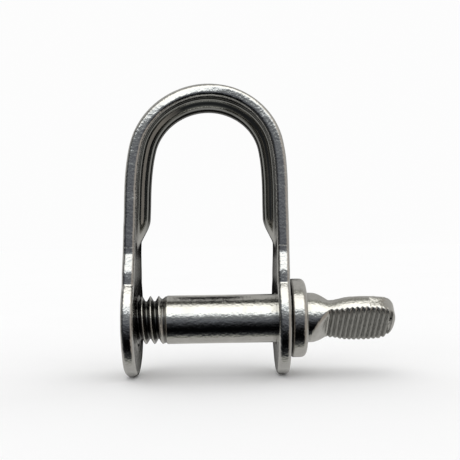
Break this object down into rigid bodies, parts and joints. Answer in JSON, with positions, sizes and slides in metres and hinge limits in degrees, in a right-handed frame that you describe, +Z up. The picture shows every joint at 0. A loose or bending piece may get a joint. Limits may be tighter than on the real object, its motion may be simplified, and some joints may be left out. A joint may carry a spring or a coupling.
{
  "type": "strip d shackle",
  "caption": "Pressed strip D shackle: a U of flat strip with a stiffening bead and round lugs, closed by a screw pin with a collar and a flattened serrated head.",
  "frame": {"origin": "on the pin's axis, midway between the two lugs", "axes": "+X along the pin towards its head, +Z up to the crown of the bow, -Y the side the serrated flat of the head faces"},
  "size_m": [0.0222, 0.0092, 0.0238],
  "materials": {
    "strip_steel": "electropolished stainless steel, dark reflections, fine scratches",
    "pin_steel": "polished stainless steel, matt pressed serrations on the head"
  },
  "bodies": {
    "shackle": {"shackle_body": "strip_steel"},
    "pin": {"screw_pin": "pin_steel"}
  },
  "joints": [
    {"name": "pin_withdraw", "type": "slide", "parent": "shackle", "child": "pin", "axis": [1, 0, 0], "range_m": [0, 0.018]}
  ]
}
